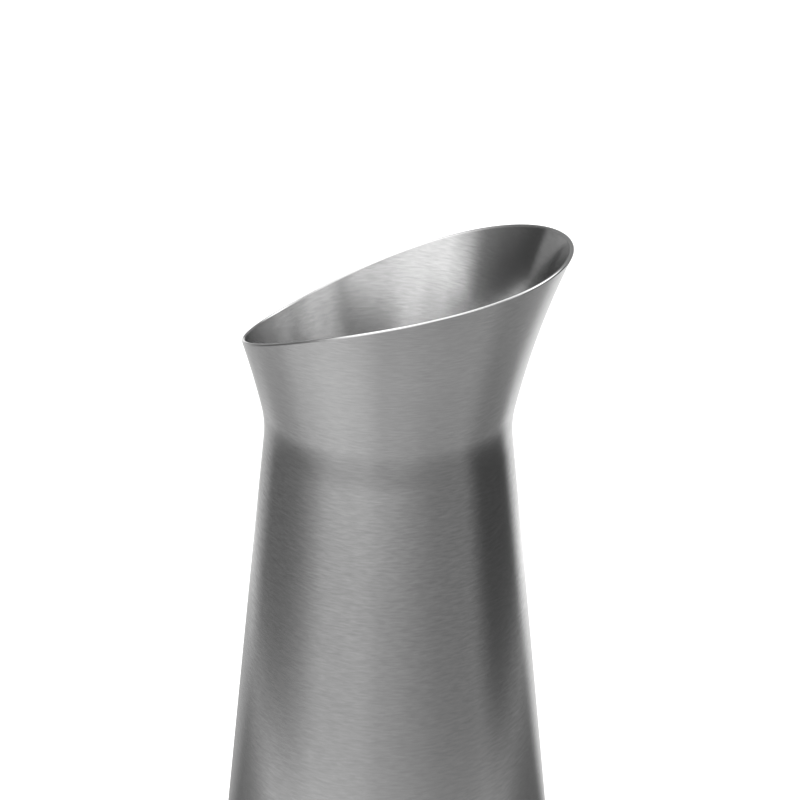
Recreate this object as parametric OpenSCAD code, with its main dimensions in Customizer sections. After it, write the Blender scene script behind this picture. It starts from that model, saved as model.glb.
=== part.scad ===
// Thermal carafe: a double-walled vacuum vessel with a flared mouth and an arched, slanted rim.
// Millimetres. Z is up, the pouring side of the rim faces +X, and the origin is on the axis at the table.

/* [Body] */
// Outer diameter of the cone where its line would meet the table
base_d = 110; // [106:1:116]
// Outer diameter at the neck, the narrowest place
neck_d = 72; // [70:0.5:75]
// Height of the neck above the table
neck_h = 190; // [175:1:215]
// Radius of the hollow curve round the neck
neck_curve_r = 41; // [36:1:48]
// Radius of the rounded lower edge
corner_r = 3; // [2.5:0.1:4]

/* [Mouth] */
// Lean of the wall where the neck curve passes into the long flare
flare_lean = 12; // [11:0.25:13]
// Radius of the long hollow curve of the flare
flare_curve_r = 276; // [230:2:330]
// Height of the rim above the neck, on the axis
rim_h = 44.4; // [42:0.2:52]
// Slant of the rim on the axis
rim_slant = 21.1; // [16:0.1:23]
// Radius of the arch that the rim follows, seen from the side
rim_arch_r = 274; // [240:2:360]

/* [Walls] */
// Sheet of the outer shell
shell_t = 0.5; // [0.4:0.05:0.7]
// Sheet of the liner
liner_t = 0.5; // [0.4:0.05:0.7]
// Room between the two sheets where they lie together in the flare
nest_gap = 0.05; // [0.03:0.01:0.1]
// Vacuum gap between the two walls of the body
vacuum_gap = 4; // [3.4:0.1:5]
// Lean of the liner where it leaves the flare for its own neck curve
liner_lean = 9; // [8.75:0.25:10]
// Height of the underside of the liner's bottom
liner_z = 13; // [12:0.5:18]
// Radius of the rounded edge of the liner's bottom
dish_r = 9; // [6:0.5:12]
// Height of the butt seam between the liner and its bottom
seam_z = 40; // [32:1:60]

/* [Foil] */
// Thickness of the copper foil wrap
foil_t = 0.2; // [0.1:0.05:0.3]
// Room between the foil and the liner
foil_gap = 0.1; // [0.05:0.05:0.2]
// Distance that the foil stays below the neck
foil_drop = 32; // [28:1:60]

/* [Base] */
// How far the foot stands out below the shell
foot_proud = 1.2; // [0.8:0.1:1.6]
// Width of the shell's turned-in edge
flange_w = 5.5; // [4.5:0.1:6]
// Sheet of the vacuum base and of the base cover
base_t = 0.6; // [0.5:0.05:0.8]
// Rise of the vacuum base above the shell's turned-in edge
pan_rise = 3.3; // [3:0.1:4]
// Radius of the exhaust pocket at its open side
pocket_r = 7.5; // [6.5:0.5:9]
// Depth of the exhaust pocket
pocket_h = 2; // [1.5:0.1:2.4]
// Diameter of the exhaust hole
hole_d = 2.4; // [1.6:0.1:3]
// Width of the cover's flat rim, outside the groove
land_w = 5; // [4.5:0.1:7]
// Width of the groove for the foot
groove_w = 5; // [4:0.1:8]
// Room between the cover and the shell, and beside the foot
fit_gap = 0.15; // [0.1:0.05:0.3]
// Thickness of the bond between the cover and the vacuum base
bond_t = 0.3; // [0.2:0.05:0.4]
// Width of the flat ring between the groove and the cover's raised centre
ring_w = 9; // [4:0.5:14]
// Rise of the centre of the cover
centre_rise = 0.9; // [0.6:0.1:1]

/* [Getter] */
// Distance of the getter from the axis
getter_x = 24; // [20:0.5:28]
// Diameter of the getter's cup
getter_d = 14; // [12:0.5:16]
// Height of the getter's cup
getter_h = 3; // [2.5:0.1:3.4]
// Sheet of the getter's cup
getter_t = 0.4; // [0.3:0.05:0.5]

/* [Hidden] */
$fn = 180;
base_r = base_d / 2;
neck_r = neck_d / 2;

// Lean of the cone: its line passes through the base circle and touches the neck curve.
reach = neck_r + neck_curve_r - base_r;
lean = atan2(neck_h, reach) - acos(neck_curve_r / norm([reach, neck_h]));
cone_c = base_r * cos(lean);

// Centres of the neck curve, the flare curve and the liner's own neck curve, as [radius, height].
neck_c = [neck_r + neck_curve_r, neck_h];
flare_c = neck_c + (flare_curve_r - neck_curve_r) * [cos(flare_lean), -sin(flare_lean)];
nest = shell_t + nest_gap;
liner_in = shell_t + vacuum_gap;
leave = on_curve(flare_c, flare_curve_r + nest, liner_lean);
liner_curve_r = (leave * [cos(lean), sin(lean)] - cone_c + liner_in) / (1 - cos(liner_lean + lean));
liner_c = leave + liner_curve_r * [cos(liner_lean), -sin(liner_lean)];

// Neighbouring curves of a profile run into each other by this much, so that they join with no gap or step.
blend = 0.002;

// The profiles run past the rim, and the rim's arch cuts them.
top_lean = 27;
wall_t = nest + liner_t;
lip_h = wall_t / 2;
arch_c = [rim_arch_r * sin(rim_slant), neck_h + rim_h - rim_arch_r * cos(rim_slant)];

// Heights and radii of the base, from the table up.
flange_z = foot_proud + shell_t;
pan_z = flange_z + pan_rise;
pan_top = pan_z + base_t;
corner_x = corner_at(0, foot_proud, corner_r)[0];
flange_r = corner_x - flange_w;
pan_r = corner_x - fit_gap;
cover_r = flange_r - fit_gap;
groove_r = cover_r - land_w - groove_w;
groove_z = pan_z - bond_t - base_t;
centre_r = groove_r - ring_w;

// A point on a hollow curve, at a given lean of the wall.
function on_curve(c, r, a) = c + r * [-cos(a), sin(a)];

// Radius of the cone at a height, moved inward by i.
function cone_r(i, z) = (cone_c - i - z * sin(lean)) / cos(lean);

// Centre of a rounded lower edge of radius r, for a cone moved inward by i that ends at height z.
function corner_at(i, z, r) = [(cone_c - i - r - (z + r) * sin(lean)) / cos(lean), z + r];

// Radius of the flare at a height, moved inward by i.
function flare_r(i, z) = flare_c[0] - sqrt(pow(flare_curve_r + i, 2) - pow(z - flare_c[1], 2));

// Height of the arch over a place along X, lowered by d.
function arch_z(x, d) = arch_c[1] + sqrt(pow(rim_arch_r - d, 2) - pow(x - arch_c[0], 2));

// Height at which the flare, moved inward by i, meets the arch in direction a.
function rim_z(i, a, z = neck_h + rim_h, n = 12) =
    n == 0 ? z : rim_z(i, a, arch_z(flare_r(i, z) * cos(a), lip_h), n - 1);

function rim_point(i, a) =
    let (z = rim_z(i, a), r = flare_r(i, z))
    [r * cos(a), r * sin(a), z];

// Area between the axis and a cone, with a rounded lower edge at height z.
module cone_area(i, z, r, top) {
    c = corner_at(i, z, r);
    t = c + r * [cos(lean), sin(lean)];
    polygon([[0, z], [c[0], z], c, t, [cone_r(i, top), top], [0, top]]);
    translate(c)
        circle(r + blend, $fn = 90);
}

// Area between the axis and a hollow curve, from lean a to lean b.
module curve_area(c, r, a, b) {
    low = on_curve(c, r, a);
    high = on_curve(c, r, b);
    difference() {
        translate([0, low[1]])
            square([max(low[0], high[0]), high[1] - low[1]]);
        translate(c)
            circle(r, $fn = 1440);
    }
}

// Area inside the outer skin, moved inward by i.
module shell_area(i) {
    cone_area(i - blend, foot_proud + i, corner_r - i, on_curve(neck_c, neck_curve_r + i, -lean)[1] + 1);
    curve_area(neck_c, neck_curve_r + i, -lean, flare_lean);
    curve_area(flare_c, flare_curve_r + i - blend, flare_lean - 0.2, top_lean);
}

// Area inside the liner's outer skin, moved inward by i.
module liner_area(i) {
    j = liner_in + i;
    cone_area(j - blend, liner_z + i, dish_r - i, on_curve(liner_c, liner_curve_r + i, -lean)[1] + 1);
    curve_area(liner_c, liner_curve_r + i, -lean, liner_lean);
    curve_area(flare_c, flare_curve_r + nest + i - blend, liner_lean - 0.2, top_lean);
}

// Everything under the arch of the rim.
module under_rim() {
    translate([arch_c[0], 0, arch_c[1]])
        rotate([90, 0, 0])
            cylinder(r = rim_arch_r - lip_h, h = 2 * base_d, center = true, $fn = 720);
}

module outer_shell() {
    color("silver")
        intersection() {
            rotate_extrude()
                difference() {
                    shell_area(0);
                    shell_area(shell_t);
                    square([flange_r, flange_z + 1]);
                }
            under_rim();
        }
}

module inner_liner() {
    color("gainsboro")
        intersection() {
            rotate_extrude()
                difference() {
                    liner_area(0);
                    liner_area(liner_t);
                    square([base_r, seam_z]);
                }
            under_rim();
        }
}

// The weld that joins the two sheets, ground to a half-round lip along the arch.
module rim_weld() {
    steps = 160;
    sides = 8;
    points = [
        for (s = [0:steps - 1])
            let (
                a = 360 * s / steps,
                out = rim_point(0, a),
                in = rim_point(wall_t, a),
                mid = (out + in) / 2,
                up = [mid[0] - arch_c[0], 0, mid[2] - arch_c[1]] / rim_arch_r
            )
            for (k = [0:sides])
                mid + (out - in) / 2 * cos(180 * k / sides) + up * lip_h * sin(180 * k / sides)
    ];
    row = sides + 1;
    faces = [
        for (s = [0:steps - 1], k = [0:sides])
            let (n = (s + 1) % steps, m = (k + 1) % row)
            for (f = [[s * row + k, s * row + m, n * row + m], [s * row + k, n * row + m, n * row + k]])
                f
    ];
    color("white")
        polyhedron(points, faces);
}

module liner_base() {
    color("lightsteelblue")
        rotate_extrude()
            intersection() {
                difference() {
                    liner_area(0);
                    liner_area(liner_t);
                }
                square([base_r, seam_z]);
            }
}

module foil_wrap() {
    near = liner_in - foil_gap;
    far = near - foil_t;
    low = corner_at(liner_in, liner_z, dish_r)[1] + 2;
    high = neck_h - foil_drop;
    color("peru")
        rotate_extrude()
            polygon([
                [cone_r(near, low), low],
                [cone_r(far, low), low],
                [cone_r(far, high), high],
                [cone_r(near, high), high]
            ]);
}

module foil_disc() {
    color("sandybrown")
        translate([0, 0, liner_z - foil_gap - foil_t])
            cylinder(r = corner_at(liner_in, liner_z, dish_r)[0], h = foil_t);
}

// A pressed pan that rests on the shell's turned-in edge and closes the vacuum.
module vacuum_base() {
    path = [
        [pan_r, flange_z],
        [flange_r + 0.6, flange_z],
        [flange_r + 0.6 - pan_rise, pan_z],
        [pocket_r, pan_z],
        [pocket_r - pocket_h / 2, pan_z + pocket_h],
        [hole_d / 2, pan_z + pocket_h]
    ];
    last = len(path) - 1;
    color("slategray")
        rotate_extrude()
            polygon(concat(path, [for (k = [0:last]) path[last - k] + [0, base_t]]));
}

module exhaust_seal() {
    low = pan_z + 0.4;
    high = pan_z + pocket_h;
    color("darkseagreen")
        rotate_extrude()
            polygon([
                [0, low],
                [pocket_r - 0.2, low],
                [pocket_r - pocket_h / 2, high],
                [hole_d / 2, high],
                [hole_d / 2, high + base_t],
                [0, high + base_t]
            ]);
}

module getter_cup() {
    color("dimgray")
        translate([-getter_x, 0, pan_top])
            difference() {
                cylinder(d = getter_d, h = getter_h);
                translate([0, 0, getter_t])
                    cylinder(d = getter_d - 2 * getter_t, h = getter_h);
            }
}

module getter_pill() {
    color("black")
        translate([-getter_x, 0, pan_top + getter_t])
            cylinder(d = getter_d - 2 * getter_t - 0.4, h = getter_h - 2 * getter_t);
}

module cover_bond() {
    color("khaki")
        translate([0, 0, groove_z + base_t])
            difference() {
                cylinder(r = groove_r + groove_w, h = bond_t);
                translate([0, 0, -1])
                    cylinder(r = groove_r, h = bond_t + 2);
            }
}

// The plate that shows underneath: a flat rim, a channel for the foot and a raised centre.
module base_cover() {
    color("lightgray")
        rotate_extrude()
            difference() {
                union() {
                    translate([centre_r, foot_proud])
                        square([cover_r - centre_r, base_t]);
                    translate([groove_r - base_t, foot_proud])
                        square([groove_w + 2 * base_t, groove_z + base_t - foot_proud]);
                    polygon([
                        [0, foot_proud + centre_rise],
                        [centre_r - centre_rise, foot_proud + centre_rise],
                        [centre_r, foot_proud],
                        [centre_r, foot_proud + base_t],
                        [centre_r - centre_rise, foot_proud + centre_rise + base_t],
                        [0, foot_proud + centre_rise + base_t]
                    ]);
                }
                translate([groove_r, 0])
                    square([groove_w, groove_z]);
            }
}

module foot_ring() {
    r = 0.7;
    w = groove_w - 2 * fit_gap;
    color("darkslategray")
        rotate_extrude()
            translate([groove_r + fit_gap, 0]) {
                translate([r, 0])
                    square([w - 2 * r, groove_z]);
                translate([0, r])
                    square([w, groove_z - r]);
                for (x = [r, w - r])
                    translate([x, r])
                        circle(r, $fn = 48);
            }
}

outer_shell();
inner_liner();
rim_weld();
liner_base();
foil_wrap();
foil_disc();
vacuum_base();
exhaust_seal();
getter_cup();
getter_pill();
cover_bond();
base_cover();
foot_ring();
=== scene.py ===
# %% [markdown]
# A double-walled thermal carafe of brushed steel, seen from a little above.
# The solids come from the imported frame. This lesson dresses them: it models the
# sheets that show, gives each of them a finish, and sets up a small studio.
# All lengths are in metres, Z is up, and the pouring side of the rim faces +X.

import math

import bmesh
import bpy
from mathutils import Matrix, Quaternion, Vector


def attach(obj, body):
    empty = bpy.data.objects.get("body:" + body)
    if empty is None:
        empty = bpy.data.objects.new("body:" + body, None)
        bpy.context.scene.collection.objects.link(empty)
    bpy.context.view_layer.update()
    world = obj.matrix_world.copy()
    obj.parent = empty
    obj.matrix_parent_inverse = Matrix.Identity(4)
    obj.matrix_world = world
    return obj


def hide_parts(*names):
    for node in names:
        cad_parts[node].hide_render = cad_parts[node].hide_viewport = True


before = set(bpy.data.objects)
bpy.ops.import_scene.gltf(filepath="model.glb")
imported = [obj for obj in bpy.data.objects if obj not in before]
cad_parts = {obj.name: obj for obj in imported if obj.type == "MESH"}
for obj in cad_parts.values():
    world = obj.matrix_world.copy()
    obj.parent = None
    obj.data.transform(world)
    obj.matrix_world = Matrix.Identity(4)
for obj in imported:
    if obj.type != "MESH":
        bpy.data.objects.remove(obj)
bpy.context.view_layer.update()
print("solids:", ", ".join(sorted(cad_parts)))

# %% [markdown]
# The camera comes first, because every later step is judged through it.
# The photograph looks down at the mouth with a long lens, so that the sides of
# the cone hardly converge. Place, aim and lens were found by matching the outline
# of the cone, the neck and the rim. The horizon is a third of a degree off level.

# %% Camera
camera = bpy.data.objects.new("camera", bpy.data.cameras.new("camera"))
bpy.context.scene.collection.objects.link(camera)
bpy.context.scene.camera = camera
camera.data.sensor_width = 36
camera.data.lens = 134.75
camera.location = (0.41331, -0.65624, 0.57845)
aim = Vector((-0.47507, 0.76160, -0.44077))
roll = 0.00573
level = aim.to_track_quat("-Z", "Y")
camera.rotation_mode = "QUATERNION"
camera.rotation_quaternion = level @ Quaternion((0, 0, 1), roll)
print("camera height:", round(camera.location.z, 3), "m, lens", camera.data.lens, "mm")

# %% [markdown]
# The body is a lathe shape: a slim cone, a tight hollow curve at the neck and a long
# hollow curve up to the rim. The same few sizes describe it here as in the solids.
# Two curves that touch with the same lean join without an edge, so each centre is
# found from the one before it. An inset moves a curve inward, for the second sheet.

# %% Sizes of the walls
MM = 0.001
base_r = 55 * MM
neck_r = 36 * MM
neck_h = 190 * MM
neck_curve_r = 41 * MM
corner_r = 3 * MM
flare_curve_r = 276 * MM
flare_lean = math.radians(12)
foot_proud = 1.2 * MM
sheet_t = 0.5 * MM
vacuum_gap = 4 * MM
fit_gap = 0.15 * MM
nest = 0.55 * MM
wall_t = nest + sheet_t

reach = neck_r + neck_curve_r - base_r
lean = math.atan2(neck_h, reach) - math.acos(neck_curve_r / math.hypot(reach, neck_h))
cone_line = base_r * math.cos(lean)
neck_c = (neck_r + neck_curve_r, neck_h)
flare_c = (
    neck_c[0] + (flare_curve_r - neck_curve_r) * math.cos(flare_lean),
    neck_c[1] - (flare_curve_r - neck_curve_r) * math.sin(flare_lean),
)
print("the cone leans", round(math.degrees(lean), 2), "degrees")


# %% Radius along the walls
def cone_radius(inset, z):
    """Radius of the cone at a height, with the wall moved inward."""
    return (cone_line - inset - z * math.sin(lean)) / math.cos(lean)


def curve_point(centre, radius, angle):
    """Radius and height on a hollow curve, where the wall leans by an angle."""
    return centre[0] - radius * math.cos(angle), centre[1] + radius * math.sin(angle)


def flare_radius(inset, z):
    """Radius of the long flare at a height, with the wall moved inward."""
    return flare_c[0] - math.sqrt((flare_curve_r + inset) ** 2 - (z - flare_c[1]) ** 2)


print("radius 20 mm above the neck:", round(1000 * flare_radius(0, neck_h + 0.02), 2), "mm")

# %% [markdown]
# Seen from the side, the rim is a slanted arch: low at the back, high and nearly
# level at the pouring side. A large circle gives that line. Where the flare meets
# it is found by trying a height, reading the arch above that radius, and repeating.

# %% Line of the rim
rim_h = 44.4 * MM
rim_slant = math.radians(21.1)
rim_arch_r = 274 * MM
lip_h = wall_t / 2
arch_c = (rim_arch_r * math.sin(rim_slant), neck_h + rim_h - rim_arch_r * math.cos(rim_slant))


def rim_point(inset, turn):
    """Point where the flare, moved inward, meets the arch in one direction."""
    z = neck_h + rim_h
    for _ in range(14):
        x = flare_radius(inset, z) * math.cos(turn)
        z = arch_c[1] + math.sqrt((rim_arch_r - lip_h) ** 2 - (x - arch_c[0]) ** 2)
    r = flare_radius(inset, z)
    return Vector((r * math.cos(turn), r * math.sin(turn), z))


rim_low, rim_high = rim_point(0, math.pi).z, rim_point(0, 0).z
print("rim from", round(1000 * rim_low, 1), "to", round(1000 * rim_high, 1), "mm")

# %% [markdown]
# A lathe shape by hand is a circle that is extruded again and again: each new ring
# is moved up and scaled to its radius. Only near the mouth that isn't enough,
# because the rows have to fan out towards the slanted rim, so there each corner of
# the new loop is laid in its own direction by a rule. These helpers do both.

# %% Rings and loops
ROUND = 240


def start_ring(name, radius, z):
    """A new piece that begins as one ring of edges, open for editing."""
    bpy.ops.object.select_all(action="DESELECT")
    bpy.ops.mesh.primitive_circle_add(vertices=ROUND, radius=radius, location=(0, 0, z))
    bpy.ops.object.transform_apply(location=True, rotation=False, scale=False)
    piece = bpy.context.object
    piece.name = piece.data.name = name
    bpy.ops.object.mode_set(mode="EDIT")
    bpy.ops.mesh.select_mode(type="EDGE")
    bpy.ops.mesh.select_all(action="SELECT")
    return piece


def next_ring(here, there):
    """Extrude the chosen ring from one (radius, height) to another."""
    bpy.ops.mesh.extrude_region_move(TRANSFORM_OT_translate={"value": (0, 0, there[1] - here[1])})
    share = there[0] / here[0]
    bpy.ops.transform.resize(value=(share, share, 1), center_override=(0, 0, there[1]))
    return there


def next_loop(rule):
    """Extrude the chosen loop and lay each new corner where the rule says for its direction."""
    bpy.ops.mesh.extrude_region_move()
    mesh = bmesh.from_edit_mesh(bpy.context.object.data)
    for corner in [v for v in mesh.verts if v.select]:
        corner.co = rule(math.atan2(corner.co.y, corner.co.x))
    bmesh.update_edit_mesh(bpy.context.object.data)


def steps(first, last, count):
    """Values after the first, up to the last, in equal steps."""
    return [first + (last - first) * k / count for k in range(1, count + 1)]


print("helpers ready,", ROUND, "corners to a ring")


# %% Closing a piece
def face_out(piece, down=False):
    """Turn an open sheet so that its faces look away from the axis, or down."""
    mesh = bmesh.from_edit_mesh(piece.data)
    mesh.normal_update()
    total = 0.0
    for face in mesh.faces:
        middle = face.calc_center_median()
        way = Vector((0, 0, -1)) if down else Vector((middle.x, middle.y, 0))
        total += face.normal.dot(way) * face.calc_area()
    if total < 0:
        bpy.ops.mesh.flip_normals()


def close_piece(piece, thickness=0.0, side=0.0, down=False, smooth=40):
    """Merge doubles, turn the faces outward, thicken the sheet and smooth it."""
    bpy.ops.mesh.select_all(action="SELECT")
    bpy.ops.mesh.remove_doubles(threshold=1e-6)
    bpy.ops.mesh.normals_make_consistent(inside=False)
    if thickness:
        face_out(piece, down)
    bpy.ops.object.mode_set(mode="OBJECT")
    if thickness:
        sheet = piece.modifiers.new("sheet", "SOLIDIFY")
        sheet.thickness = thickness
        sheet.offset = side
        sheet.use_even_offset = True
        bpy.ops.object.modifier_apply(modifier=sheet.name)
    bpy.ops.object.shade_smooth_by_angle(angle=math.radians(smooth))
    size = piece.dimensions
    print(piece.name, "is", [round(1000 * s, 1) for s in size], "mm,", len(piece.data.polygons), "faces")


def fit_in(piece, node):
    """The piece rides on the part and stands for a solid, which it hides."""
    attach(piece, "root")
    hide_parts(node)


print("closing steps ready")

# %% [markdown]
# The outer shell is one spun sheet, half a millimetre thick. It starts at the
# turned-in edge under the base, goes round a tight corner, up the cone, through the
# neck and out into the flare. The rows on the straight cone aren't needed for its
# shape, but they keep the smooth shading of the two curves from bleeding along it.

# %% Outer shell
flange_w = 5.5 * MM
corner_z = foot_proud + corner_r
corner_x = (cone_line - corner_r - corner_z * math.sin(lean)) / math.cos(lean)
flange_r = corner_x - flange_w

shell = start_ring("brushed_shell", flange_r, foot_proud)
at = (flange_r, foot_proud)
for r in steps(flange_r, corner_x, 4):
    at = next_ring(at, (r, foot_proud))
for angle in steps(-math.pi / 2, lean, 10):
    at = next_ring(at, (corner_x + corner_r * math.cos(angle), corner_z + corner_r * math.sin(angle)))
for z in steps(at[1], curve_point(neck_c, neck_curve_r, -lean)[1], 42):
    at = next_ring(at, (cone_radius(0, z), z))
for angle in steps(-lean, flare_lean, 18):
    at = next_ring(at, curve_point(neck_c, neck_curve_r, angle))
print("the neck ends at", round(1000 * at[1], 1), "mm")


# %% Mouth of the shell
def fan(inset, low, share):
    """A rule that lays a loop part of the way from a level ring to the slanted rim."""

    def rule(turn):
        z = low + share * (rim_point(inset, turn).z - low)
        r = flare_radius(inset, z)
        return Vector((r * math.cos(turn), r * math.sin(turn), z))

    return rule


for share in steps(0, 1, 28):
    next_loop(fan(0, at[1], share))
close_piece(shell, sheet_t, -1)
fit_in(shell, "outer_shell")

# %% [markdown]
# The liner is the second sheet, the one that shows inside the mouth. In the flare it
# lies against the shell, and below the neck it draws away to leave the vacuum gap.
# Its inner face is the one that shows, so that face is modelled, and the sheet is
# thickened outward, into the gap.

# %% Liner
vacuum_in = sheet_t + vacuum_gap
liner_lean = math.radians(9)
seam_z = 40 * MM
leave = curve_point(flare_c, flare_curve_r + nest, liner_lean)
past_cone = leave[0] * math.cos(lean) + leave[1] * math.sin(lean) - cone_line + vacuum_in
liner_curve_r = past_cone / (1 - math.cos(liner_lean + lean))
liner_c = (
    leave[0] + liner_curve_r * math.cos(liner_lean),
    leave[1] - liner_curve_r * math.sin(liner_lean),
)
inner = vacuum_in + sheet_t

at = (cone_radius(inner, seam_z), seam_z)
liner = start_ring("brushed_liner", *at)
for z in steps(seam_z, curve_point(liner_c, liner_curve_r + sheet_t, -lean)[1], 32):
    at = next_ring(at, (cone_radius(inner, z), z))
for angle in steps(-lean, liner_lean, 18):
    at = next_ring(at, curve_point(liner_c, liner_curve_r + sheet_t, angle))
for share in steps(0, 1, 36):
    next_loop(fan(wall_t, at[1], share))
close_piece(liner, sheet_t, 1)
fit_in(liner, "inner_liner")

# %% [markdown]
# Where the two sheets end, a weld joins them. It is ground and polished to a narrow
# half-round lip, about a millimetre wide, that catches a bright line along the rim.
# A loop starts on the outer edge, is extruded over the top in small steps, and a
# bridge closes the strip underneath.

# %% Lip
LIP_FULLNESS = 0.98


def lip_row(share):
    """A rule for one loop of the half-round lip, from the outer edge over the top."""
    angle = math.pi * share

    def rule(turn):
        out, inside = rim_point(0, turn), rim_point(wall_t, turn)
        middle = (out + inside) / 2
        up = Vector((middle.x - arch_c[0], 0, middle.z - arch_c[1])) / rim_arch_r
        return middle + (out - inside) / 2 * math.cos(angle) + up * LIP_FULLNESS * lip_h * math.sin(angle)

    return rule


lip = start_ring("polished_lip", rim_point(0, 0).x, rim_point(0, 0).z)
mesh = bmesh.from_edit_mesh(lip.data)
for corner in mesh.verts:
    corner.co = lip_row(0)(math.atan2(corner.co.y, corner.co.x))
bmesh.update_edit_mesh(lip.data)
for share in steps(0, 1, 12):
    next_loop(lip_row(share))
bpy.ops.mesh.select_all(action="DESELECT")
bpy.ops.mesh.select_non_manifold()
bpy.ops.mesh.bridge_edge_loops()
close_piece(lip, smooth=60)
fit_in(lip, "rim_weld")

# %% [markdown]
# Looking straight down through the neck, the bottom of the liner shows: a drawn cup
# with a generous round between wall and floor. It is extruded downward from the seam,
# ring by ring, and the floor is a few insets that end in a small filled disc.

# %% Liner bottom
liner_z = 13 * MM
dish_curve_r = 9 * MM
last_ring_r = 1.5 * MM
dish_r = dish_curve_r - sheet_t
floor_z = liner_z + sheet_t
dish_z = floor_z + dish_r
dish_x = (cone_line - inner - dish_r - dish_z * math.sin(lean)) / math.cos(lean)

at = (cone_radius(inner, seam_z), seam_z)
bottom = start_ring("liner_bottom", *at)
for z in steps(seam_z, dish_z + dish_r * math.sin(lean), 6):
    at = next_ring(at, (cone_radius(inner, z), z))
for angle in steps(lean, -math.pi / 2, 14):
    at = next_ring(at, (dish_x + dish_r * math.cos(angle), dish_z + dish_r * math.sin(angle)))
for r in steps(dish_x, last_ring_r, 10):
    at = next_ring(at, (r, floor_z))
bpy.ops.mesh.edge_face_add()
close_piece(bottom, sheet_t, 1)
fit_in(bottom, "liner_base")

# %% [markdown]
# Underneath, a pressed plate covers the vacuum base. It has a flat rim, a channel for
# the foot and a slightly raised centre. A press can't make a sharp bend, so after the
# rings are laid, every bend is chosen by its place and rounded with a bevel.

# %% Base cover
plate_t = 0.6 * MM
rim_w = 5 * MM
groove_w = 5 * MM
groove_z = 4.1 * MM
step_w = 9 * MM
step_h = 0.9 * MM
bend_r = 0.35 * MM
hub_r = 2 * MM
cover_r = flange_r - fit_gap
groove_out = cover_r - rim_w
groove_in = groove_out - groove_w
centre_r = groove_in - step_w
centre_z = foot_proud + step_h
bends = [
    (groove_out, foot_proud),
    (groove_out, groove_z),
    (groove_in, groove_z),
    (groove_in, foot_proud),
    (centre_r, foot_proud),
    (centre_r - step_h, centre_z),
]
at = (cover_r, foot_proud)
cover = start_ring("pressed_cover", *at)
for bend in bends:
    at = next_ring(at, bend)
for r in steps(at[0], hub_r, 6):
    at = next_ring(at, (r, centre_z))
bpy.ops.mesh.edge_face_add()
print("the cover has", len(bends), "bends")


# %% Rounded bends of the cover
CLOSE_BY = 2e-5


def choose_rings(places):
    """Choose the edges that lie along rings of a given radius and height."""
    bpy.ops.mesh.select_all(action="DESELECT")
    mesh = bmesh.from_edit_mesh(bpy.context.object.data)
    for edge in mesh.edges:
        ends = [(math.hypot(v.co.x, v.co.y), v.co.z) for v in edge.verts]
        for r, z in places:
            if all(abs(a - r) < CLOSE_BY and abs(b - z) < CLOSE_BY for a, b in ends):
                edge.select_set(True)
    bmesh.update_edit_mesh(bpy.context.object.data)
    return sum(e.select for e in mesh.edges)


print("bend edges:", choose_rings(bends))
bpy.ops.mesh.bevel(offset=bend_r, segments=4, affect="EDGES")
close_piece(cover, plate_t, -1, down=True)
fit_in(cover, "base_cover")

# %% [markdown]
# The foot is a moulded ring of dark silicone pressed into the cover's channel. It is
# the only thing that touches the table. Its section is a small bar with rounded lower
# edges: four rings are bridged into a closed bar, and the two lower edges are bevelled.

# %% Foot
foot_edge_r = 0.7 * MM
foot_top_r = 0.25 * MM
foot_out = groove_out - fit_gap
foot_in = groove_in + fit_gap
at = (foot_out, groove_z)
foot = start_ring("foot_band", *at)
for place in [(foot_out, 0), (foot_in, 0), (foot_in, groove_z)]:
    at = next_ring(at, place)
bpy.ops.mesh.select_all(action="DESELECT")
bpy.ops.mesh.select_non_manifold()
bpy.ops.mesh.bridge_edge_loops()
print("foot edges:", choose_rings([(foot_out, 0), (foot_in, 0)]))
bpy.ops.mesh.bevel(offset=foot_edge_r, segments=6, affect="EDGES")
print("top edges:", choose_rings([(foot_out, groove_z), (foot_in, groove_z)]))
bpy.ops.mesh.bevel(offset=foot_top_r, segments=2, affect="EDGES")
close_piece(foot, smooth=60)
fit_in(foot, "foot_ring")

# %% [markdown]
# A finish is a small tree of nodes. These helpers add a node and wire it in one line,
# so that the cells below read like a recipe. Values that are the same all over a
# surface, such as how far a highlight is drawn out, stay on the shader itself.

# %% Node helpers
def wire(tree, kind, settings=None, **inputs):
    """Add a node, set its options, and fill its inputs with values or links."""
    node = tree.nodes.new(kind)
    for key, value in (settings or {}).items():
        setattr(node, key, value)
    for key, value in inputs.items():
        socket = node.inputs[int(key[1:])] if key[1:].isdigit() else node.inputs[key.replace("_", " ")]
        if isinstance(value, bpy.types.NodeSocket):
            tree.links.new(value, socket)
        else:
            socket.default_value = value
    return node


def new_finish(name, **constants):
    """A material with its shader's plain values set."""
    material = bpy.data.materials.new(name)
    material.use_nodes = True
    shader = material.node_tree.nodes["Principled BSDF"]
    for key, value in constants.items():
        shader.inputs[key.replace("_", " ")].default_value = value
    return material, material.node_tree, shader


def coat(obj, material):
    """Give an object one finish all over."""
    obj.data.materials.clear()
    obj.data.materials.append(material)


def spread(tree, value, low, high, start=0.25, stop=0.75):
    """Stretch a pattern's value to the range that is wanted."""
    return wire(tree, "ShaderNodeMapRange", i0=value, i1=start, i2=stop, i3=low, i4=high).outputs[0]


def grey(tree, value):
    """A neutral colour from one value."""
    return wire(tree, "ShaderNodeCombineColor", i0=value, i1=value, i2=value).outputs[0]


def two_tones(tree, value, dark, light):
    """A colour between two tones, chosen by a pattern's value."""
    mix = wire(tree, "ShaderNodeMix", {"data_type": "RGBA"}, i0=value, i6=(*dark, 1), i7=(*light, 1))
    return mix.outputs[2]


print("finish helpers ready")


# %% Arithmetic and patterns
def math_node(tree, operation, a, b, c=0.0):
    """One step of arithmetic."""
    return wire(tree, "ShaderNodeMath", {"operation": operation}, i0=a, i1=b, i2=c).outputs[0]


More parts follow.
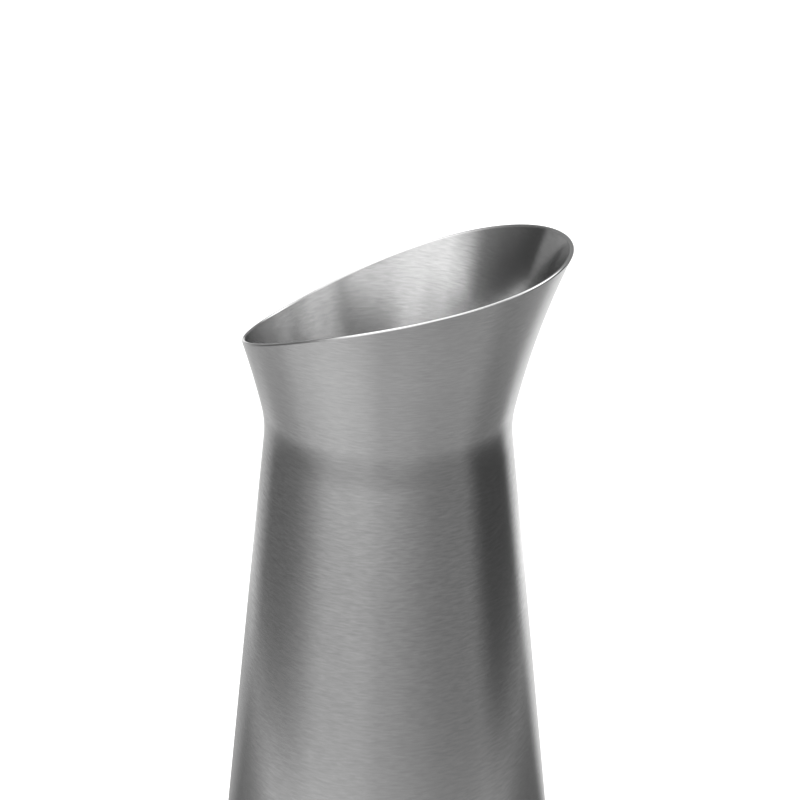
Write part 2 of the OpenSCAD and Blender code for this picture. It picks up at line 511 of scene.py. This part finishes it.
def vector_node(tree, operation, a, b=(0, 0, 0)):
    """One step of arithmetic with vectors. Lengths and dot products come out as plain values."""
    node = wire(tree, "ShaderNodeVectorMath", {"operation": operation}, i0=a, i1=b)
    return node.outputs["Value" if operation in ("LENGTH", "DOT_PRODUCT") else "Vector"]


def object_place(tree):
    """The place of a point in the part's own coordinates."""
    return wire(tree, "ShaderNodeTexCoord").outputs["Object"]


def noise(tree, place, scale, detail):
    """A cloudy pattern."""
    return wire(tree, "ShaderNodeTexNoise", Vector=place, Scale=scale, Detail=detail).outputs[0]


def relief(tree, height, depth, strength=1.0):
    """A normal that follows a pattern's ups and downs."""
    return wire(tree, "ShaderNodeBump", Strength=strength, Distance=depth, Height=height).outputs[0]


def feed(tree, shader, **links):
    """Wire patterns into the shader's inputs."""
    for key, socket in links.items():
        tree.links.new(socket, shader.inputs[key.replace("_", " ")])


print("pattern helpers ready")

# %% [markdown]
# Brushed steel is scratched by a belt while the piece turns, so its lines run round
# the axis. On walls a line stays at one height, and on a flat it stays at one radius.
# A noise that is squeezed hard across the lines and hardly along them gives both, if
# its third coordinate is height plus a share of the radius. Across the lines a
# highlight is smeared far, along them little: the shader's anisotropy does that.
# In the photograph the lines are fainter low on the body and on the flare.

# %% Brush lines
RADIUS_SHARE = 0.7


def lathe_place(tree, along, across):
    """Object coordinates, squeezed so that a noise runs in lines round the axis."""
    place = object_place(tree)
    radius = vector_node(tree, "LENGTH", vector_node(tree, "MULTIPLY", place, (1, 1, 0)))
    height = wire(tree, "ShaderNodeSeparateXYZ", i0=place).outputs["Z"]
    line = math_node(tree, "MULTIPLY_ADD", radius, RADIUS_SHARE, height)
    lift = wire(tree, "ShaderNodeCombineXYZ", Z=math_node(tree, "MULTIPLY", line, across)).outputs[0]
    drawn = vector_node(tree, "MULTIPLY", place, (along, along, 0))
    return vector_node(tree, "ADD", drawn, lift)


def round_tangent(tree):
    """The direction round the axis, for the drawn-out highlight."""
    return vector_node(tree, "CROSS_PRODUCT", (0, 0, 1), object_place(tree))


print("lines run round the axis")

# %% Brushed steel
LOW_PRESS = 0.5
LOW_TO, FULL_FROM = 0.08, 0.16
FLARE_FROM, FLARE_TO = 0.175, 0.21


def brushed_steel(name, tone, rough, groove, drawn, lines, mouth):
    """Steel with fine lines round the axis, of a given contrast that changes towards the mouth."""
    material, tree, shader = new_finish(name, Metallic=1.0, Anisotropic=drawn, Anisotropic_Rotation=0.25)
    fine = noise(tree, lathe_place(tree, 340, 3400), 1.0, 3.0)
    broad = noise(tree, lathe_place(tree, 300, 1500), 1.0, 2.0)
    cloud = noise(tree, lathe_place(tree, 30, 60), 1.0, 3.0)
    both = math_node(tree, "MULTIPLY_ADD", fine, 0.6, broad)
    height = wire(tree, "ShaderNodeSeparateXYZ", i0=object_place(tree)).outputs["Z"]
    press = spread(tree, height, 1.0, mouth, FLARE_FROM, FLARE_TO)
    press = math_node(tree, "MULTIPLY", press, spread(tree, height, LOW_PRESS, 1.0, LOW_TO, FULL_FROM))
    mixed = math_node(tree, "MULTIPLY", spread(tree, both, -1.0, 1.0, 0.45, 1.15), press)
    tint = spread(tree, mixed, tone * (1 - lines), tone * (1 + lines), -1.0, 1.0)
    shade = math_node(tree, "MULTIPLY", tint, spread(tree, cloud, 0.985, 1.015))
    feed(
        tree,
        shader,
        Base_Color=grey(tree, shade),
        Roughness=spread(tree, mixed, rough * 1.08, rough * 0.92, -1.0, 1.0),
        Normal=relief(tree, both, groove),
        Tangent=round_tangent(tree),
    )
    return material


shell_finish = brushed_steel(
    "shell_brushed_steel", tone=0.60, rough=0.23, groove=3e-6, drawn=0.75, lines=0.18, mouth=0.40
)
liner_finish = brushed_steel(
    "liner_brushed_steel", tone=0.60, rough=0.18, groove=8e-6, drawn=0.75, lines=0.12, mouth=1.0
)
cover_finish = brushed_steel(
    "cover_brushed_steel", tone=0.58, rough=0.33, groove=8e-6, drawn=0.7, lines=0.16, mouth=1.0
)
coat(shell, shell_finish)
coat(liner, liner_finish)
coat(bottom, liner_finish)
coat(cover, cover_finish)
print("brushed:", shell.name, liner.name, bottom.name, cover.name)

# %% [markdown]
# The lip is ground and then buffed, so it is smoother than the sheets and has none of
# their lines. A faint cloudiness and hairline scratches along the rim keep it from
# looking like a wire of chrome.

# %% Polished lip
polish, tree, shader = new_finish("polished_weld", Metallic=1.0, Anisotropic=0.3, Anisotropic_Rotation=0.25)
hair = noise(tree, lathe_place(tree, 90, 9000), 1.0, 2.0)
haze = noise(tree, lathe_place(tree, 120, 120), 1.0, 3.0)
feed(
    tree,
    shader,
    Base_Color=grey(tree, spread(tree, haze, 0.59, 0.67)),
    Roughness=spread(tree, haze, 0.12, 0.17),
    Normal=relief(tree, hair, 2e-6),
    Tangent=round_tangent(tree),
)
coat(lip, polish)
print("polished:", lip.name)

# %% [markdown]
# Silicone is matt, with a very fine moulded grain and a trace of dust that makes it
# lighter in places. Two noises of different size do that, one for the grain and one
# for the dust.

# %% Silicone foot
rubber, tree, shader = new_finish("foot_silicone", IOR=1.41, Specular_IOR_Level=0.45)
grain = noise(tree, object_place(tree), 4200.0, 2.0)
dust = noise(tree, object_place(tree), 140.0, 5.0)
feed(
    tree,
    shader,
    Base_Color=grey(tree, spread(tree, dust, 0.030, 0.050)),
    Roughness=spread(tree, grain, 0.52, 0.70),
    Normal=relief(tree, grain, 1.5e-5, 0.6),
)
coat(foot, rubber)
print("silicone:", foot.name)

# %% [markdown]
# The pieces inside the vacuum never show from outside, but whoever takes the part
# apart sees them, so they keep their solids and get true finishes: dull pressed steel,
# crinkled copper foil, a bead of solder glass, a dark getter pill and a tan bond.

# %% Pressed steel inside
pressed, tree, shader = new_finish("pressed_dull_steel", Metallic=1.0)
grain = noise(tree, object_place(tree), 2600.0, 3.0)
stain = noise(tree, object_place(tree), 90.0, 4.0)
feed(
    tree,
    shader,
    Base_Color=grey(tree, spread(tree, stain, 0.46, 0.54)),
    Roughness=spread(tree, grain, 0.34, 0.50),
    Normal=relief(tree, grain, 8e-6, 0.5),
)
for name in ("vacuum_base", "getter_cup"):
    coat(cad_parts[name], pressed)
print("pressed steel: vacuum_base, getter_cup")

# %% Copper foil
foil, tree, shader = new_finish("copper_foil", Metallic=1.0)
soft = noise(tree, object_place(tree), 160.0, 4.0)
edges = {"feature": "DISTANCE_TO_EDGE"}
crease = wire(tree, "ShaderNodeTexVoronoi", edges, Vector=object_place(tree), Scale=110.0)
feed(
    tree,
    shader,
    Base_Color=two_tones(tree, spread(tree, soft, 0.0, 1.0), (0.62, 0.27, 0.14), (0.74, 0.36, 0.21)),
    Roughness=spread(tree, soft, 0.18, 0.34),
    Normal=relief(tree, crease.outputs["Distance"], 1.2e-4, 0.6),
)
for name in ("foil_wrap", "foil_disc"):
    coat(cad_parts[name], foil)
print("copper foil: foil_wrap, foil_disc")


# %% Glass, getter and bond
def grained(name, dark, light, rough, scale, depth, **constants):
    """A dull finish with a fine grain between two tones."""
    material, tree, shader = new_finish(name, **constants)
    grain = noise(tree, object_place(tree), scale, 4.0)
    feed(
        tree,
        shader,
        Base_Color=two_tones(tree, spread(tree, grain, 0.0, 1.0), dark, light),
        Roughness=spread(tree, grain, rough * 0.8, rough * 1.2),
        Normal=relief(tree, grain, depth, 0.6),
    )
    return material


glass = grained("solder_glass", (0.16, 0.21, 0.17), (0.26, 0.31, 0.26), 0.12, 700.0, 2e-5, IOR=1.7)
pill = grained("getter_alloy", (0.10, 0.10, 0.11), (0.24, 0.24, 0.25), 0.55, 2400.0, 5e-5, Metallic=1.0)
bond = grained("tan_bond", (0.45, 0.34, 0.18), (0.60, 0.48, 0.28), 0.5, 500.0, 4e-5)
for name, finish in (("exhaust_seal", glass), ("getter_pill", pill), ("cover_bond", bond)):
    coat(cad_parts[name], finish)
print("glass, getter and bond coated")

# %% [markdown]
# Steel has no look of its own: it shows the room. The photograph's steel tells what
# stood round it: a softbox at the front left, a bright ceiling and high panels behind
# that shine into the mouth, and unlit room at both sides, which makes the dark bands.
# The world paints that room by direction, as soft panels and dark flags, and the
# camera itself sees plain white. In the tight corner of the mouth light is mirrored
# five times and more before it gets out, so ten such bounces are followed.

# %% Room
scene = bpy.context.scene
scene.view_settings.view_transform = "Standard"
scene.cycles.glossy_bounces = 10
world = bpy.data.worlds.new("studio")
scene.world = world
world.use_nodes = True
room = world.node_tree
room.nodes.clear()
camera_side = Vector((camera.location.x, camera.location.y, 0)).normalized()
right_side = Vector((-camera_side.y, camera_side.x, 0))


def heading(tree, vector):
    """The compass direction of a vector, with its height left out."""
    return vector_node(tree, "NORMALIZE", vector_node(tree, "MULTIPLY", vector, (1, 1, 0)))


look = wire(room, "ShaderNodeTexCoord").outputs["Generated"]
rise = wire(room, "ShaderNodeSeparateXYZ", i0=look).outputs["Z"]
room_heading = heading(room, look)
print("camera side:", [round(v, 3) for v in camera_side])


# %% Panels and flags
def ease(tree, value, start, stop, low=0.0, high=1.0):
    """A soft step from a low to a high level between two values."""
    smooth = {"interpolation_type": "SMOOTHSTEP"}
    return wire(tree, "ShaderNodeMapRange", smooth, i0=value, i1=start, i2=stop, i3=low, i4=high).outputs[0]


def sector(tree, compass, turn, half, feather):
    """A soft-edged slice of the room, centred some degrees to the right of the camera."""
    a = math.radians(turn)
    way = camera_side * math.cos(a) + right_side * math.sin(a)
    near, far = (math.cos(math.radians(min(180, max(0, half + s * feather)))) for s in (-1, 1))
    return ease(tree, vector_node(tree, "DOT_PRODUCT", compass, way), far, near)


def overlap(tree, a, b):
    """The part that two patches share."""
    return math_node(tree, "MULTIPLY", a, b)


def band(low, high, soft):
    """A soft-edged band of heights above the horizon, in degrees."""
    heights = (low - soft, low + soft, high - soft, high + soft)
    edges = [math.sin(math.radians(max(-90, min(90, v)))) for v in heights]
    lower = ease(room, rise, edges[0], edges[1])
    upper = ease(room, rise, edges[3], edges[2])
    return overlap(room, lower, upper)


def panel(tree, light, strength, where):
    """Add a soft panel of light."""
    return math_node(tree, "MULTIPLY_ADD", where, strength, light)


def flag(tree, light, depth, where):
    """Take a share of the light away."""
    return math_node(tree, "MULTIPLY", light, math_node(tree, "MULTIPLY_ADD", where, -depth, 1.0))


def patch(turn, half, feather, low, high, soft):
    """A soft-edged patch of the room: a slice of it that is cut to a band of heights."""
    return overlap(room, sector(room, room_heading, turn, half, feather), band(low, high, soft))


print("panels and flags ready")

# %% Light of the room
wall_top, ceiling_edge = (math.sin(math.radians(v)) for v in (26, 50))
light = ease(room, rise, wall_top, ceiling_edge, 0.30, 1.45)
# Behind: a dim wall and a high panel at the left, a long panel with a dark gap over it at the right.
light = flag(room, light, 0.34, patch(-128, 34, 18, 18, 42, 5))
light = panel(room, light, 1.50, patch(121, 42, 16, 29, 48, 4))
light = flag(room, light, 0.75, patch(96, 22, 8, 42, 80, 4))
light = panel(room, light, 1.20, patch(-154, 40, 12, 42, 60, 4))
# At the left: a small panel with a dimmer top, over a wall that is dark down to the floor.
light = panel(room, light, 0.62, patch(-74, 20, 18, 20, 38, 5))
light = flag(room, light, 0.25, patch(-70, 18, 12, 33, 46, 4))
light = flag(room, light, 0.30, patch(-90, 24, 14, -30, 9, 5))
left_edge = sector(room, room_heading, -33, 90, 3)
light = flag(room, light, 0.78, overlap(room, patch(-108, 24, 18, -30, 7, 3), left_edge))
# At the right: a dark wall.
light = flag(room, light, 0.70, patch(108, 26, 12, -30, 18, 6))
# In front: the softbox, and two darker strips to the left of it.
light = panel(room, light, 1.00, patch(-30, 29, 16, -2, 29, 5))
light = flag(room, light, 0.25, patch(-79, 15, 6, 6, 20, 3))
light = flag(room, light, 0.35, patch(-61, 10, 6, 10, 24, 3))
print("room painted with", len(room.nodes), "nodes")

# %% White for the camera
WHITE = (1, 1, 1, 1)
path = wire(room, "ShaderNodeLightPath")
seen = math_node(room, "MAXIMUM", path.outputs["Is Camera Ray"], path.outputs["Is Transmission Ray"])
studio = wire(room, "ShaderNodeBackground", Color=light, Strength=1.0).outputs[0]
white = wire(room, "ShaderNodeBackground", Color=WHITE, Strength=1.0).outputs[0]
mix = wire(room, "ShaderNodeMixShader", i0=seen, i1=studio, i2=white).outputs[0]
wire(room, "ShaderNodeOutputWorld", Surface=mix)
print("the camera sees a white room")

# %% [markdown]
# The floor is pale paper. For the camera it glows white and still takes the soft shadow of a large softbox.
# In the steel it shows painted light instead of its own shading, laid out as the floor was lit in the
# photograph: a painted ring of light round the foot, brighter to the left, then dimmer further out, painted
# shade at both sides and round the foot, and pale behind. From below it is clear, so that the foot can be
# seen.

# %% Softbox and floor
lamp = bpy.data.objects.new("softbox", bpy.data.lights.new("softbox", "AREA"))
scene.collection.objects.link(lamp)
lamp.data.shape = "RECTANGLE"
lamp.data.size, lamp.data.size_y = 0.9, 0.9
lamp.data.energy = 2.0
lamp.location = camera_side * 0.35 - right_side * 0.55 + Vector((0, 0, 1.15))
lamp.rotation_mode = "QUATERNION"
lamp.rotation_quaternion = (Vector((0, 0, 0.1)) - lamp.location).to_track_quat("-Z", "Y")

bpy.ops.object.select_all(action="DESELECT")
bpy.ops.mesh.primitive_plane_add(size=8)
floor = bpy.context.object
floor.name = "floor"
print("softbox", lamp.data.energy, "W, floor", round(floor.dimensions.x, 1), "m wide")

# %% Painted light on the floor further out
paper_and_painted_light = bpy.data.materials.new("floor_paper_and_painted_light")
paper_and_painted_light.use_nodes = True
paper_and_painted_light.cycles.emission_sampling = "NONE"
tree = paper_and_painted_light.node_tree
tree.nodes.clear()
place = object_place(tree)
compass = heading(tree, place)
away = vector_node(tree, "LENGTH", place)
# Painted light: a dim floor, painted lighter in front where the softbox stands, and painted dark at both
# sides.
outer = panel(tree, 0.24, 0.09, sector(tree, compass, -35, 21, 8))
outer = panel(tree, outer, 0.11, sector(tree, compass, -26, 32, 34))
outer = flag(tree, outer, 0.32, sector(tree, compass, -104, 32, 14))
outer = flag(tree, outer, 0.72, sector(tree, compass, 108, 28, 12))
# Far out, painted: darker at the left, lighter behind it and in front.
far_left = overlap(tree, sector(tree, compass, -108, 24, 18), sector(tree, compass, -33, 90, 3))
outer = flag(tree, outer, 0.72, overlap(tree, far_left, ease(tree, away, 0.9, 1.8)))
back_left = overlap(tree, sector(tree, compass, -150, 23, 3), ease(tree, away, 0.8, 1.3))
outer = panel(tree, outer, 0.10, back_left)
glare = overlap(tree, sector(tree, compass, -35, 50, 40), ease(tree, away, 0.55, 0.95))
outer = panel(tree, outer, 0.30, glare)
print("outer floor lit with", len(tree.nodes), "nodes")

# %% Painted ring of light
RING_BACK = 0.08
spot = vector_node(tree, "LENGTH", vector_node(tree, "ADD", place, camera_side * RING_BACK))
# The painted ring fades slowly in front.
front = overlap(tree, sector(tree, compass, -20, 50, 30), ease(tree, spot, 0.30, 0.46, 1.0, 0.0))
outer = panel(tree, outer, 0.12, front)
# It is painted brighter at the left, dimmer behind on both sides, and dark inside, as a painted shadow
# round the foot.
ring = panel(tree, 1.02, 0.66, sector(tree, compass, -74, 36, 36))
ring = flag(tree, ring, 0.32, sector(tree, compass, -122, 27, 14))
ring = flag(tree, ring, 0.24, sector(tree, compass, 118, 24, 12))
ring = flag(tree, ring, 0.80, ease(tree, spot, 0.20, 0.25, 1.0, 0.0))
close = ease(tree, spot, 0.22, 0.28, 1.0, 0.0)
painted_lit = wire(tree, "ShaderNodeMix", {"data_type": "FLOAT"}, i0=close, i2=outer, i3=ring).outputs[0]
# Behind, painted light stands for the pale background that lights the paper.
near = ease(tree, away, 1.0, 1.5, 1.0, 0.0)
painted_lit = panel(tree, painted_lit, 0.36, overlap(tree, sector(tree, compass, -164, 29, 18), near))
painted_lit = panel(tree, painted_lit, 0.70, overlap(tree, sector(tree, compass, 166, 30, 12), near))
print("floor lit with", len(tree.nodes), "nodes")

# %% Paper of the floor, and the painted light that the steel sees in it
PAPER = (0.6, 0.6, 0.6, 1)
GLOW = 0.7
path = wire(tree, "ShaderNodeLightPath")
glow = math_node(tree, "MULTIPLY", path.outputs["Is Camera Ray"], GLOW)
shine = wire(tree, "ShaderNodeEmission", Color=WHITE, Strength=glow).outputs[0]
matt = wire(tree, "ShaderNodeBsdfDiffuse", Color=PAPER).outputs[0]
top = wire(tree, "ShaderNodeAddShader", i0=shine, i1=matt).outputs[0]
# For glossy rays the floor is an emission of painted light, laid out by place, and not the paper's own
# shading.
painted_floor_light = wire(tree, "ShaderNodeEmission", Color=WHITE, Strength=painted_lit).outputs[0]
shown = wire(tree, "ShaderNodeMixShader", i0=path.outputs["Is Glossy Ray"], i1=top, i2=painted_floor_light).outputs[0]
clear = wire(tree, "ShaderNodeBsdfTransparent").outputs[0]
under = wire(tree, "ShaderNodeNewGeometry").outputs["Backfacing"]
sides = wire(tree, "ShaderNodeMixShader", i0=under, i1=shown, i2=clear).outputs[0]
wire(tree, "ShaderNodeOutputMaterial", Surface=sides)
coat(floor, paper_and_painted_light)
print("paper laid on", floor.name)
